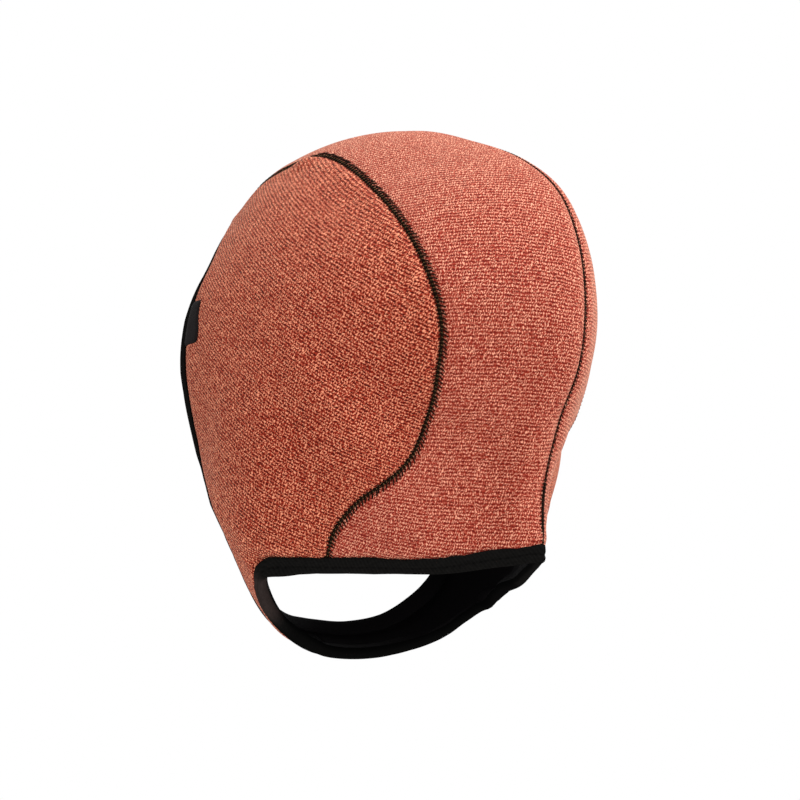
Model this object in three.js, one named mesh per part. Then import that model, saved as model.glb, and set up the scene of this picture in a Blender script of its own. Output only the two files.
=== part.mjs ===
// Surf cap: a close neoprene hood for surfing, sewn from panels, with a chin strap of the same cloth.
// Two crown panels meet on the middle line, two side panels cover the ears and meet under the chin,
// and soft binding wraps the edge of the face opening and the edge of the neck opening.
// Millimetres, +Z up. The face looks along -Y and +X is the wearer's left.
// The origin is inside the top of the crown, straight above the ears, where the head meets the cap.
import * as THREE from 'three';
import { mergeVertices } from 'three/addons/utils/BufferGeometryUtils.js';

// Driving dimensions
const WALL = 2.5;
const HALF_WIDTH = 80;
const NARROWING_UP = 0.0031;
const NARROWING_BACK = 0.0012;
const SEAM_GAP = 0.4;
const BINDING_REACH = 7;
const BINDING_WALL = 1;
const BINDING_CLEARANCE = 0.75;
const PATCH_WALL = 0.6;
const PATCH_CLEARANCE = 0.4;

// Sections of the head form by planes through the ear axis, from the face (0) over the crown (90).
// reach is the distance from the ear axis on the middle line. round is the power of the section:
// 2 is an ellipse, 1 a straight-sided V, as where the two back panels fold at the nape.
const SECTION_STEP = 15;
const SECTIONS = [
  { turn: 0, reach: 88, round: 2.1 },
  { turn: 15, reach: 85, round: 2.2 },
  { turn: 30, reach: 80, round: 2.25 },
  { turn: 45, reach: 80.5, round: 2.3 },
  { turn: 60, reach: 83.5, round: 2.35 },
  { turn: 75, reach: 83, round: 2.35 },
  { turn: 90, reach: 83, round: 2.2 },
  { turn: 105, reach: 83.3, round: 1.95 },
  { turn: 120, reach: 84.6, round: 1.75 },
  { turn: 135, reach: 89.8, round: 1.65 },
  { turn: 150, reach: 94.6, round: 1.6 },
  { turn: 165, reach: 95, round: 1.6 },
  { turn: 180, reach: 94.5, round: 1.55 },
  { turn: 195, reach: 94.5, round: 1.4 },
  { turn: 210, reach: 93.5, round: 1.35 },
  { turn: 225, reach: 104, round: 1.05 },
  { turn: 240, reach: 133, round: 1 },
  { turn: 255, reach: 120, round: 1.7 },
  { turn: 270, reach: 124, round: 2.5 },
  { turn: 285, reach: 132.5, round: 1.9 },
  { turn: 300, reach: 112, round: 1.8 },
  { turn: 315, reach: 102.5, round: 1.8 },
  { turn: 330, reach: 96, round: 1.9 },
  { turn: 345, reach: 91.5, round: 2 },
];

// Edges and seams lie on the head form, seen from a point low in the hollow between the two openings.
// turn goes round the line through both openings, from the middle of the crown (0) past the left ear
// to the chin (180). tilt is measured from the face opening back towards the neck opening.
const HEART = new THREE.Vector3(0, -27, -70);
const TO_FACE = new THREE.Vector3(0, -0.805, 0.593).normalize();
const TO_CROWN = new THREE.Vector3(0, 0.593, 0.805).normalize();
const TO_LEFT = new THREE.Vector3(1, 0, 0);

// Edge of the forehead, from the middle line to the left crown seam
const FOREHEAD_EDGE = [
  { turn: 0, tilt: 36 },
  { turn: 12, tilt: 37.3 },
  { turn: 22, tilt: 39.9 },
];

// Edge of the nape, from the middle line to the left crown seam
const NAPE_EDGE = [
  { turn: 0, tilt: 159.8 },
  { turn: 16, tilt: 161.4 },
  { turn: 32, tilt: 161.8 },
  { turn: 48, tilt: 160.9 },
  { turn: 64, tilt: 158 },
  { turn: 80, tilt: 150.7 },
];

// Edge of the face opening at the left temple and cheek, from the crown seam to the first jaw rib
const CHEEK_EDGE = [
  { turn: 30, tilt: 42.9 },
  { turn: 36, tilt: 45.5 },
  { turn: 42, tilt: 48.5 },
  { turn: 50, tilt: 51.8 },
  { turn: 59, tilt: 54.2 },
  { turn: 67, tilt: 57.3 },
  { turn: 75, tilt: 62.5 },
  { turn: 83.5, tilt: 69.5 },
];

// Ribs across the jaw and the left half of the chin strap, each from the face edge to the neck edge
const JAW_RIBS = [
  { faceTurn: 92, faceTilt: 77, neckTurn: 95.5, neckTilt: 132.3 },
  { faceTurn: 97.5, faceTilt: 87, neckTurn: 100, neckTilt: 123 },
  { faceTurn: 101, faceTilt: 93.5, neckTurn: 103.5, neckTilt: 116.6 },
  { faceTurn: 106, faceTilt: 97.5, neckTurn: 109, neckTilt: 116.2 },
  { faceTurn: 113, faceTilt: 100.5, neckTurn: 115, neckTilt: 117.6 },
  { faceTurn: 122, faceTilt: 103, neckTurn: 123, neckTilt: 119.6 },
  { faceTurn: 136, faceTilt: 105.5, neckTurn: 135, neckTilt: 122.3 },
  { faceTurn: 156, faceTilt: 105.5, neckTurn: 156, neckTilt: 125.3 },
  { faceTurn: 180, faceTilt: 103.8, neckTurn: 180, neckTilt: 123.5 },
];

// Left crown seam, an S from the forehead edge back over the ear and down to the neck edge
const CROWN_SEAM = [
  { turn: 30, tilt: 42.9 },
  { turn: 26.5, tilt: 46.5 },
  { turn: 23.3, tilt: 50 },
  { turn: 21.3, tilt: 54 },
  { turn: 19.6, tilt: 58.5 },
  { turn: 17.8, tilt: 63 },
  { turn: 18.4, tilt: 67 },
  { turn: 20.7, tilt: 78 },
  { turn: 23.2, tilt: 88.5 },
  { turn: 25, tilt: 98.5 },
  { turn: 27, tilt: 109.5 },
  { turn: 30.2, tilt: 116 },
  { turn: 34, tilt: 122 },
  { turn: 41, tilt: 127.2 },
  { turn: 49, tilt: 129.4 },
  { turn: 57, tilt: 129.3 },
  { turn: 68, tilt: 128 },
  { turn: 80, tilt: 128.2 },
  { turn: 88, tilt: 130 },
  { turn: 95.5, tilt: 132.3 },
];

// Plain patch behind the left edge of the face opening: its edge follows the binding
const PATCH = { from: 0.4356, to: 0.606, topReach: 10, bottomReach: 16 };

// Mesh steps
const SEAM_STEPS = 20;
const CROWN_STEPS = 10;
const JAW_STEPS = 14;
const SIDE_STEPS = 10;
const TIP = 0.012;
const PATCH_STEPS = 5;

// Head form

const wrap = (index, count) => ((index % count) + count) % count;

function sectionValue(key, turn) {
  const place = turn / SECTION_STEP;
  const first = Math.floor(place);
  const part = place - first;
  const [before, from, to, after] = [-1, 0, 1, 2].map((k) => SECTIONS[wrap(first + k, SECTIONS.length)][key]);
  const slope = to - before;
  const bend = 2 * before - 5 * from + 4 * to - after;
  const twist = 3 * (from - to) + after - before;
  return from + 0.5 * part * (slope + part * (bend + part * twist));
}

function distanceOutside(point) {
  const x = Math.abs(point.x) / (1 - NARROWING_UP * point.z - NARROWING_BACK * point.y);
  const fromAxis = Math.hypot(point.y, point.z);
  const turn = THREE.MathUtils.radToDeg(Math.atan2(point.z, -point.y));
  const lift = Math.atan2(x, fromAxis);
  const power = 2 - (2 - sectionValue('round', turn)) * Math.cos(lift) ** 2;
  const along = (Math.cos(lift) / sectionValue('reach', turn)) ** power;
  const across = (Math.sin(lift) / HALF_WIDTH) ** power;
  return Math.hypot(x, fromAxis) - (along + across) ** (-1 / power);
}

function normalAt(point) {
  const step = 0.5;
  const slope = (axis) => {
    const move = new THREE.Vector3().setComponent(axis, step);
    return distanceOutside(point.clone().add(move)) - distanceOutside(point.clone().sub(move));
  };
  return new THREE.Vector3(slope(0), slope(1), slope(2)).normalize();
}

// The point of the form on the ray from the heart through a given point, sunk by depth into the wall
function onForm(through, depth = 0) {
  const direction = through.clone().sub(HEART).normalize();
  let inside = 0;
  let outside = 300;
  for (let pass = 0; pass < 40; pass += 1) {
    const middle = (inside + outside) / 2;
    const isInside = distanceOutside(HEART.clone().addScaledVector(direction, middle)) < 0;
    if (isInside) inside = middle;
    else outside = middle;
  }
  const point = HEART.clone().addScaledVector(direction, inside);
  return depth === 0 ? point : point.addScaledVector(normalAt(point), -depth);
}

function place(turn, tilt, depth = 0) {
  const round = THREE.MathUtils.degToRad(turn);
  const back = THREE.MathUtils.degToRad(tilt);
  const direction = TO_FACE.clone().multiplyScalar(Math.cos(back));
  direction.addScaledVector(TO_CROWN, Math.sin(back) * Math.cos(round));
  direction.addScaledVector(TO_LEFT, Math.sin(back) * Math.sin(round));
  return onForm(HEART.clone().add(direction), depth);
}

// The turn and tilt at which a point is seen from the heart
function sighted(point) {
  const direction = point.clone().sub(HEART).normalize();
  const turn = THREE.MathUtils.radToDeg(Math.atan2(direction.dot(TO_LEFT), direction.dot(TO_CROWN)));
  const tilt = THREE.MathUtils.radToDeg(Math.acos(direction.dot(TO_FACE)));
  return new THREE.Vector2(turn, tilt);
}

const mirrored = (point) => new THREE.Vector3(-point.x, point.y, point.z);

// Edges: closed loops through the table rows of the left half and their mirror images

function loopThrough(leftRows) {
  const left = leftRows.map((row) => place(row.turn, row.tilt));
  const right = left.slice(1, -1).reverse().map(mirrored);
  return new THREE.CatmullRomCurve3([...left, ...right], true, 'centripetal');
}

const faceRows = [
  ...FOREHEAD_EDGE,
  ...CHEEK_EDGE,
  ...JAW_RIBS.map((row) => ({ turn: row.faceTurn, tilt: row.faceTilt })),
];
const neckRows = [
  ...NAPE_EDGE,
  ...JAW_RIBS.map((row) => ({ turn: row.neckTurn, tilt: row.neckTilt })),
];
const faceLoop = loopThrough(faceRows);
const neckLoop = loopThrough(neckRows);
const crownSeam = new THREE.CatmullRomCurve3(
  CROWN_SEAM.map((row) => place(row.turn, row.tilt)),
  false,
  'centripetal',
);

// A stretch of a loop between two of its rows, as a function of 0 to 1
const stretch = (loop, fromRow, toRow) => (part) =>
  loop.getPoint(THREE.MathUtils.lerp(fromRow, toRow, part) / loop.points.length);

const templeRow = FOREHEAD_EDGE.length;
const jawRow = templeRow + CHEEK_EDGE.length;
const foreheadEdge = stretch(faceLoop, 0, templeRow);
const cheekEdge = stretch(faceLoop, templeRow, jawRow);
const strapFaceEdge = stretch(faceLoop, jawRow, faceRows.length - 1);
const napeEdge = stretch(neckLoop, 0, NAPE_EDGE.length);
const strapNeckEdge = stretch(neckLoop, NAPE_EDGE.length, neckRows.length - 1);
const seamEdge = (part) => crownSeam.getPointAt(part);
const middleLine = (part) =>
  place(0, THREE.MathUtils.lerp(FOREHEAD_EDGE[0].tilt, NAPE_EDGE[0].tilt, part));

// How far an edge lies off the straight line between its ends
const bulge = (edge, part) =>
  edge(part).sub(edge(0).multiplyScalar(1 - part)).addScaledVector(edge(1), -part);

// Four edges, as turns and tilts, blended into a grid of points on the form at the given depth
function blendedGrid(edges, uSteps, vSteps, depth) {
  const [start, end, low, high] = edges.map((edge) => (part) => sighted(edge(part)));
  const grid = [];
  for (let i = 0; i <= uSteps; i += 1) {
    const u = i / uSteps;
    const line = [];
    for (let j = 0; j <= vSteps; j += 1) {
      const v = j / vSteps;
      const view = low(u).multiplyScalar(1 - v).addScaledVector(high(u), v);
      view.addScaledVector(bulge(start, v), (1 - u) ** 2).addScaledVector(bulge(end, v), u ** 2);
      line.push(place(view.x, view.y, depth));
    }
    grid.push(line);
  }
  return grid;
}

// The side panel's ribs run from the face edge to the crown seam, and past the seam's end to the neck edge
function ribGrid(depth) {
  const ribs = [];
  const addRib = (from, to) => {
    const rib = [];
    for (let j = 0; j <= SIDE_STEPS; j += 1) {
      rib.push(onForm(from.clone().lerp(to, j / SIDE_STEPS), depth));
    }
    ribs.push(rib);
  };
  for (let i = 0; i <= SEAM_STEPS; i += 1) {
    const part = Math.max(i / SEAM_STEPS, TIP);
    addRib(cheekEdge(part), seamEdge(part));
  }
  for (let i = 1; i <= JAW_STEPS; i += 1) {
    const part = i / JAW_STEPS;
    addRib(strapFaceEdge(part), strapNeckEdge(part));
  }
  return ribs;
}

// Seam edges are drawn back so that neighbouring panels keep a gap
function drawBack(point, neighbour) {
  point.add(neighbour.clone().sub(point).setLength(SEAM_GAP / 2));
}

function drawBackCrown(grid) {
  grid.forEach((line) => {
    drawBack(line[0], line[1]);
    drawBack(line[CROWN_STEPS], line[CROWN_STEPS - 1]);
  });
}

function drawBackSide(grid) {
  grid.slice(0, SEAM_STEPS + 1).forEach((rib) => drawBack(rib[SIDE_STEPS], rib[SIDE_STEPS - 1]));
  const chin = grid.length - 1;
  grid[chin].forEach((point, j) => drawBack(point, grid[chin - 1][j]));
}

// Closed solids

function solidFrom(triangles, flipped) {
  const positions = [];
  triangles.forEach(([a, b, c]) => {
    const corners = flipped ? [a, c, b] : [a, b, c];
    corners.forEach((corner) => positions.push(corner.x, corner.y, corner.z));
  });
  const geometry = new THREE.BufferGeometry();
  geometry.setAttribute('position', new THREE.Float32BufferAttribute(positions, 3));
  const merged = mergeVertices(geometry, 1e-4);
  merged.computeVertexNormals();
  return merged;
}

function shellTriangles(outer, inner) {
  const triangles = [];
  const last = outer.length - 1;
  const end = outer[0].length - 1;
  const quad = (a, b, c, d) => triangles.push([a, b, c], [a, c, d]);
  for (let i = 0; i < last; i += 1) {
    for (let j = 0; j < end; j += 1) {
      quad(outer[i][j], outer[i + 1][j], outer[i + 1][j + 1], outer[i][j + 1]);
      quad(inner[i][j], inner[i][j + 1], inner[i + 1][j + 1], inner[i + 1][j]);
    }
  }
  for (let i = 0; i < last; i += 1) {
    quad(inner[i][0], inner[i + 1][0], outer[i + 1][0], outer[i][0]);
    quad(outer[i][end], outer[i + 1][end], inner[i + 1][end], inner[i][end]);
  }
  for (let j = 0; j < end; j += 1) {
    quad(outer[0][j], outer[0][j + 1], inner[0][j + 1], inner[0][j]);
    quad(inner[last][j], inner[last][j + 1], outer[last][j + 1], outer[last][j]);
  }
  return triangles;
}

const mirroredTriangles = (triangles) => triangles.map((corners) => corners.map(mirrored));

// Panels

function crownTriangles() {
  const edges = [foreheadEdge, napeEdge, middleLine, seamEdge];
  const [outer, inner] = [0, WALL].map((depth) => blendedGrid(edges, SEAM_STEPS, CROWN_STEPS, depth));
  [outer, inner].forEach(drawBackCrown);
  return shellTriangles(outer, inner);
}

function sideTriangles() {
  const [outer, inner] = [0, WALL].map(ribGrid);
  [outer, inner].forEach(drawBackSide);
  return shellTriangles(outer, inner);
}

// Bindings: a folded strip round the whole loop, with a leaf on each side of the panel's edge

const bindingSection = () => {
  const outerSkin = BINDING_CLEARANCE + BINDING_WALL;
  const innerSkin = -WALL - outerSkin;
  const outerFace = BINDING_CLEARANCE;
  const innerFace = -WALL - BINDING_CLEARANCE;
  const fold = -BINDING_CLEARANCE - BINDING_WALL;
  return [
    { into: BINDING_REACH, rise: outerSkin },
    { into: BINDING_REACH, rise: outerFace },
    { into: -BINDING_CLEARANCE, rise: outerFace },
    { into: -BINDING_CLEARANCE, rise: innerFace },
    { into: BINDING_REACH, rise: innerFace },
    { into: BINDING_REACH, rise: innerSkin },
    { into: 0, rise: innerSkin },
    { into: fold, rise: innerFace + BINDING_WALL / 2 },
    { into: fold, rise: outerFace - BINDING_WALL / 2 },
    { into: 0, rise: outerSkin },
  ];
};

// Stations round a loop are the panels' own edge points, so that binding and panels bend together
function loopStations(stretches) {
  const left = [];
  stretches.forEach(({ edge, steps }) => {
    for (let i = 0; i < steps; i += 1) left.push(edge(i / steps));
  });
  left.push(stretches[stretches.length - 1].edge(1));
  const points = left.map((point) => onForm(point));
  return [...points, ...points.slice(1, -1).reverse().map(mirrored)];
}

function bindingTriangles(stations, inwardSign) {
  const rings = stations.map((point, index) => {
    const before = stations[wrap(index - 1, stations.length)];
    const after = stations[wrap(index + 1, stations.length)];
    const along = after.clone().sub(before).normalize();
    const inward = normalAt(point).cross(along).normalize().multiplyScalar(inwardSign);
    return bindingSection().map(({ into, rise }) =>
      onForm(point.clone().addScaledVector(inward, into), -rise));
  });
  const triangles = [];
  rings.forEach((ring, index) => {
    const next = rings[wrap(index + 1, rings.length)];
    ring.forEach((corner, k) => {
      const other = wrap(k + 1, ring.length);
      triangles.push([corner, next[k], next[other]], [corner, next[other], ring[other]]);
    });
  });
  return triangles;
}

// Patch: a thin plate of trim on the left panel, from the binding's edge back towards the ear

function patchTriangles() {
  const edgeAt = (part) => {
    const along01 = THREE.MathUtils.lerp(PATCH.from, PATCH.to, part);
    const here = onForm(cheekEdge(along01));
    const ahead = onForm(cheekEdge(along01 + 0.01));
    const along = ahead.sub(here).normalize();
    const inward = normalAt(here).cross(along).normalize();
    return { here, inward };
  };
  const gridAt = (rise) => {
    const grid = [];
    for (let i = 0; i <= PATCH_STEPS; i += 1) {
      const part = i / PATCH_STEPS;
      const { here, inward } = edgeAt(part);
      const nearEdge = BINDING_REACH + PATCH_CLEARANCE;
      const farEdge = THREE.MathUtils.lerp(PATCH.topReach, PATCH.bottomReach, part);
      const line = [nearEdge, (nearEdge + farEdge) / 2, farEdge].map((into) =>
        onForm(here.clone().addScaledVector(inward, into), -rise));
      grid.push(line);
    }
    return grid;
  };
  return shellTriangles(gridAt(PATCH_CLEARANCE + PATCH_WALL), gridAt(PATCH_CLEARANCE));
}

// Materials

const knitCloth = () => new THREE.MeshStandardMaterial({ color: 0xc4634b, roughness: 0.9, metalness: 0 });
const crownCloth = () => new THREE.MeshStandardMaterial({ color: 0xc26656, roughness: 0.9, metalness: 0 });
const blackBinding = () => new THREE.MeshStandardMaterial({ color: 0x17181a, roughness: 0.6, metalness: 0 });
const blackTrim = () => new THREE.MeshStandardMaterial({ color: 0x141416, roughness: 0.75, metalness: 0 });

// Assembly

const cap = new THREE.Group();
cap.position.z = WALL - SECTIONS.find((row) => row.turn === 90).reach;

function addPiece(name, triangles, flipped, material) {
  const piece = new THREE.Mesh(solidFrom(triangles, flipped), material);
  piece.name = name;
  cap.add(piece);
}

const crown = crownTriangles();
addPiece('crown_panel_left', crown, true, crownCloth());
addPiece('crown_panel_right', mirroredTriangles(crown), false, crownCloth());

const side = sideTriangles();
addPiece('side_panel_left', side, false, knitCloth());
addPiece('side_panel_right', mirroredTriangles(side), true, knitCloth());

const faceStations = loopStations([
  { edge: foreheadEdge, steps: CROWN_STEPS },
  { edge: cheekEdge, steps: SEAM_STEPS },
  { edge: strapFaceEdge, steps: JAW_STEPS },
]);
addPiece('face_binding', bindingTriangles(faceStations, 1), false, blackBinding());

const neckStations = loopStations([
  { edge: napeEdge, steps: CROWN_STEPS },
  { edge: strapNeckEdge, steps: JAW_STEPS },
]);
addPiece('neck_binding', bindingTriangles(neckStations, -1), true, blackBinding());

addPiece('edge_patch', patchTriangles(), false, blackTrim());

export default cap;
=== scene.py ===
# %% [markdown]
# # A surf cap in knit-faced foam cloth
#
# This cap keeps the sun and the cold off a surfer's head. It is cut from 2.5 mm foam cloth with a
# heathered rib knit outside and a smooth black face inside. Two crown panels run over the head, two
# side panels cover the ears and carry the chin strap, and black tape binds both openings. The cells
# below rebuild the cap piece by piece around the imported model, which fixes its size and its place.

import math

import bmesh
import bpy
import numpy as np
from mathutils import Matrix


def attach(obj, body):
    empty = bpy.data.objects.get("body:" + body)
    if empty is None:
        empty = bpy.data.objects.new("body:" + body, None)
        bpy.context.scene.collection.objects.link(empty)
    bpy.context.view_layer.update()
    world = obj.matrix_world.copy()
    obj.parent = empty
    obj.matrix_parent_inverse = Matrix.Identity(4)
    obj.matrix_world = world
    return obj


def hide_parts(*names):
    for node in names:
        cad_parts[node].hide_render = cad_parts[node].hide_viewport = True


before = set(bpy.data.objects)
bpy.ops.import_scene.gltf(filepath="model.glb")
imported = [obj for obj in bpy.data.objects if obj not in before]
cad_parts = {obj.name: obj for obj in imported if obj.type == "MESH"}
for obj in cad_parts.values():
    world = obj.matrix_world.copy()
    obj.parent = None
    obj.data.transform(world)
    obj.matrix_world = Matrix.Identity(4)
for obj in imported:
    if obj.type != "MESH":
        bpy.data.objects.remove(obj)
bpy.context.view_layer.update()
print("packed nodes:", ", ".join(sorted(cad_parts)))

# %% [markdown]
# ## The head form
#
# A sewn cap takes the form of the head that it was patterned on. The form here is a table of sections
# by planes through the ear axis: how far the cap reaches from that axis, and how round the section
# is. These are the same rows that the solid model uses, so the dressed cap fills the same space.
# Lengths are millimetres until a mesh is made, because that is how a pattern cutter would say them.

# %% Sections and edges of the form
MM = 0.001
WALL = 2.5
HALF_WIDTH = 80.0
NARROWING_UP = 0.0031
NARROWING_BACK = 0.0012
SECTION_STEP = 15
REACH_ROUND = [
    (88, 2.1), (85, 2.2), (80, 2.25), (80.5, 2.3), (83.5, 2.35), (83, 2.35),
    (83, 2.2), (83.3, 1.95), (84.6, 1.75), (89.8, 1.65), (94.6, 1.6), (95, 1.6),
    (94.5, 1.55), (94.5, 1.4), (93.5, 1.35), (104, 1.05), (133, 1), (120, 1.7),
    (124, 2.5), (132.5, 1.9), (112, 1.8), (102.5, 1.8), (96, 1.9), (91.5, 2),
]
REACH = np.array([row[0] for row in REACH_ROUND], float)
ROUND = np.array([row[1] for row in REACH_ROUND], float)
LIFT = WALL - REACH[90 // SECTION_STEP]

FOREHEAD_EDGE = [(0, 36), (12, 37.3), (22, 39.9)]
NAPE_EDGE = [(0, 159.8), (16, 161.4), (32, 161.8), (48, 160.9), (64, 158), (80, 150.7)]
CHEEK_EDGE = [
    (30, 42.9), (36, 45.5), (42, 48.5), (50, 51.8), (59, 54.2), (67, 57.3), (75, 62.5), (83.5, 69.5),
]
JAW_FACE_EDGE = [
    (92, 77), (97.5, 87), (101, 93.5), (106, 97.5), (113, 100.5),
    (122, 103), (136, 105.5), (156, 105.5), (180, 103.8),
]
JAW_NECK_EDGE = [
    (95.5, 132.3), (100, 123), (103.5, 116.6), (109, 116.2), (115, 117.6),
    (123, 119.6), (135, 122.3), (156, 125.3), (180, 123.5),
]
CROWN_SEAM = [
    (30, 42.9), (26.5, 46.5), (23.3, 50), (21.3, 54), (19.6, 58.5), (17.8, 63), (18.4, 67), (20.7, 78),
    (23.2, 88.5), (25, 98.5), (27, 109.5), (30.2, 116), (34, 122), (41, 127.2), (49, 129.4),
    (57, 129.3), (68, 128), (80, 128.2), (88, 130), (95.5, 132.3),
]
print("sections:", len(REACH), " crown lift:", LIFT, "mm")

# %% [markdown]
# The form is found by halving: from a point low in the hollow, the heart, a ray leaves in each
# direction, and the place where it crosses the form is halved in until it is exact. NumPy does that for
# thousands of rays at once. A point is named by its turn round the line through both openings and its
# tilt back from the face opening, which is how the edges above are written.

# %% Rays from the heart to the form
HEART = np.array([0.0, -27.0, -70.0])
FARTHEST = 300.0
HALVINGS = 34


def unit(vectors):
    return vectors / np.linalg.norm(vectors, axis=-1, keepdims=True)


TO_FACE = unit(np.array([0.0, -0.805, 0.593]))
TO_CROWN = unit(np.array([0.0, 0.593, 0.805]))
TO_LEFT = np.array([1.0, 0.0, 0.0])


def section_value(table, turn):
    place = turn / SECTION_STEP
    first = np.floor(place).astype(int)
    part = place - first
    before, start, end, after = (table[(first + k) % len(table)] for k in (-1, 0, 1, 2))
    bend = 2 * before - 5 * start + 4 * end - after
    twist = 3 * (start - end) + after - before
    return start + 0.5 * part * (end - before + part * (bend + part * twist))


def distance_outside(points):
    x, y, z = points[..., 0], points[..., 1], points[..., 2]
    across = np.abs(x) / (1 - NARROWING_UP * z - NARROWING_BACK * y)
    from_axis = np.hypot(y, z)
    turn = np.degrees(np.arctan2(z, -y))
    lift = np.arctan2(across, from_axis)
    power = 2 - (2 - section_value(ROUND, turn)) * np.cos(lift) ** 2
    radius = (np.cos(lift) / section_value(REACH, turn)) ** power + (np.sin(lift) / HALF_WIDTH) ** power
    return np.hypot(across, from_axis) - radius ** (-1 / power)


def normal_at(points, step=0.5):
    slopes = [
        distance_outside(points + step * axis) - distance_outside(points - step * axis)
        for axis in np.eye(3)
    ]
    return unit(np.stack(slopes, -1))


def on_form(through):
    direction = unit(through - HEART)
    inside = np.zeros(direction.shape[:-1])
    outside = np.full(direction.shape[:-1], FARTHEST)
    for _ in range(HALVINGS):
        middle = (inside + outside) / 2
        within = distance_outside(HEART + direction * middle[..., None]) < 0
        inside = np.where(within, middle, inside)
        outside = np.where(within, outside, middle)
    return HEART + direction * inside[..., None]


def place(turn, tilt):
    turn, tilt = np.radians(turn), np.radians(tilt)
    direction = (
        TO_FACE * np.cos(tilt)[..., None]
        + TO_CROWN * (np.sin(tilt) * np.cos(turn))[..., None]
        + TO_LEFT * (np.sin(tilt) * np.sin(turn))[..., None]
    )
    return on_form(HEART + direction)


def sighted(points):
    direction = unit(points - HEART)
    turn = np.degrees(np.arctan2(direction @ TO_LEFT, direction @ TO_CROWN))
    return np.stack([turn, np.degrees(np.arccos(direction @ TO_FACE))], -1)


MIRROR = np.array([-1.0, 1.0, 1.0])
print("crown of the form:", place(np.array([0.0]), np.array([90.0]))[0].round(1))

# %% [markdown]
# ## Edges
#
# Every edge is one smooth curve through its rows. A centripetal spline passes through each row without
# the loops that a plain one makes where rows stand close together. The two openings are closed loops
# through the left rows and their mirror images, and a panel uses a stretch of them.
#
# In the tables a row is a turn and a tilt, in degrees.

# %% Smooth curves through rows
SMALLEST_GAP = 1e-4


def spline(knots, places, closed):
    """Points of a centripetal spline at places counted in rows."""
    count = len(knots)
    if not closed:
        first, last = 2 * knots[0] - knots[1], 2 * knots[-1] - knots[-2]
        knots = np.vstack([first, knots, last])
    row = np.floor(places).astype(int)
    if not closed:
        row = np.clip(row, 0, count - 2)
    part = (places - row)[:, None]
    shift = 0 if closed else 1
    four = [knots[(row + shift + k) % len(knots)] for k in (-1, 0, 1, 2)]
    p0, p1, p2, p3 = four
    d0, d1, d2 = (
        np.maximum(np.linalg.norm(b - a, axis=1, keepdims=True) ** 0.5, SMALLEST_GAP)
        for a, b in zip(four, four[1:])
    )
    leave = ((p1 - p0) / d0 - (p2 - p0) / (d0 + d1) + (p2 - p1) / d1) * d1
    reach = ((p2 - p1) / d1 - (p3 - p1) / (d1 + d2) + (p3 - p2) / d2) * d1
    square = -3 * p1 + 3 * p2 - 2 * leave - reach
    cube = 2 * p1 - 2 * p2 + leave + reach
    return p1 + part * (leave + part * (square + part * cube))


def rows_on_form(rows):
    rows = np.array(rows, float)
    return place(rows[:, 0], rows[:, 1])


def loop_edge(rows, from_row, to_row):
    left = rows_on_form(rows)
    knots = np.vstack([left, left[1:-1][::-1] * MIRROR])
    return lambda parts: on_form(spline(knots, from_row + np.asarray(parts) * (to_row - from_row), True))


def distance_along(line):
    """The length of a line up to each of its points."""
    return np.concatenate([[0], np.cumsum(np.linalg.norm(np.diff(line, axis=0), axis=1))])


def even_edge(rows):
    """An open edge whose parts are shares of its length."""
    knots = rows_on_form(rows)
    places = np.linspace(0, len(knots) - 1, 2001)
    length = distance_along(spline(knots, places, False))
    return lambda parts: on_form(
        spline(knots, np.interp(np.asarray(parts) * length[-1], length, places), False)
    )


FACE_ROWS = FOREHEAD_EDGE + CHEEK_EDGE + JAW_FACE_EDGE
NECK_ROWS = NAPE_EDGE + JAW_NECK_EDGE
temple_row = len(FOREHEAD_EDGE)
jaw_row = temple_row + len(CHEEK_EDGE)
nape_rows = len(NAPE_EDGE)
forehead_edge = loop_edge(FACE_ROWS, 0, temple_row)
cheek_edge = loop_edge(FACE_ROWS, temple_row, jaw_row)
strap_face_edge = loop_edge(FACE_ROWS, jaw_row, len(FACE_ROWS) - 1)
nape_edge = loop_edge(NECK_ROWS, 0, nape_rows)
strap_neck_edge = loop_edge(NECK_ROWS, nape_rows, len(NECK_ROWS) - 1)
crown_seam = even_edge(CROWN_SEAM)


def middle_line(parts):
    tilts = FOREHEAD_EDGE[0][1] + np.asarray(parts) * (NAPE_EDGE[0][1] - FOREHEAD_EDGE[0][1])
    return place(np.zeros_like(tilts), tilts)


seam_length = distance_along(crown_seam(np.linspace(0, 1, 400)))[-1]
print(f"crown seam: {seam_length:.0f} mm on each side")

# %% [markdown]
# ## Camera, light and floor
#
# The photograph looks at the left rear of the cap from a little below its middle, so the camera stands
# low and looks up. A long lens keeps the cap from swelling towards the viewer. A white surround gives
# the flat, shadowless light of a catalogue picture, and two soft lamps above and behind the cap add some
# form.

# %% The camera
CAMERA_TURN = math.radians(38)
CAMERA_RISE = math.radians(-12)
CAMERA_DISTANCE = 1.2
SENSOR_WIDTH = 36
LENS = 132.3
SHIFT_ACROSS, SHIFT_UP = 0.0073, -0.083
UPRIGHT = np.array([0, 0, 1.0])


def standing(spot_, axes):
    """The matrix of an object that stands at a spot with its three axes as given."""
    return Matrix([[axis[k] for axis in axes] + [spot_[k]] for k in range(3)] + [[0, 0, 0, 1]])


back = np.array([
    math.cos(CAMERA_TURN) * math.cos(CAMERA_RISE),
    math.sin(CAMERA_TURN) * math.cos(CAMERA_RISE),
    math.sin(CAMERA_RISE),
])
right = np.array([-math.sin(CAMERA_TURN), math.cos(CAMERA_TURN), 0.0])
up = np.cross(back, right)
ears = np.array([0, 0, LIFT * MM])
spot = ears + back * CAMERA_DISTANCE
camera_data = bpy.data.cameras.new("camera")
camera = bpy.data.objects.new("camera", camera_data)
bpy.context.scene.collection.objects.link(camera)
camera.matrix_world = standing(spot, (right, up, back))
camera_data.sensor_width = SENSOR_WIDTH
camera_data.lens = LENS
camera_data.shift_x = SHIFT_ACROSS
camera_data.shift_y = SHIFT_UP
camera_data.clip_end = 20
bpy.context.scene.camera = camera
print("camera at", spot.round(3))

# %% Lamps, surround and floor


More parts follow.
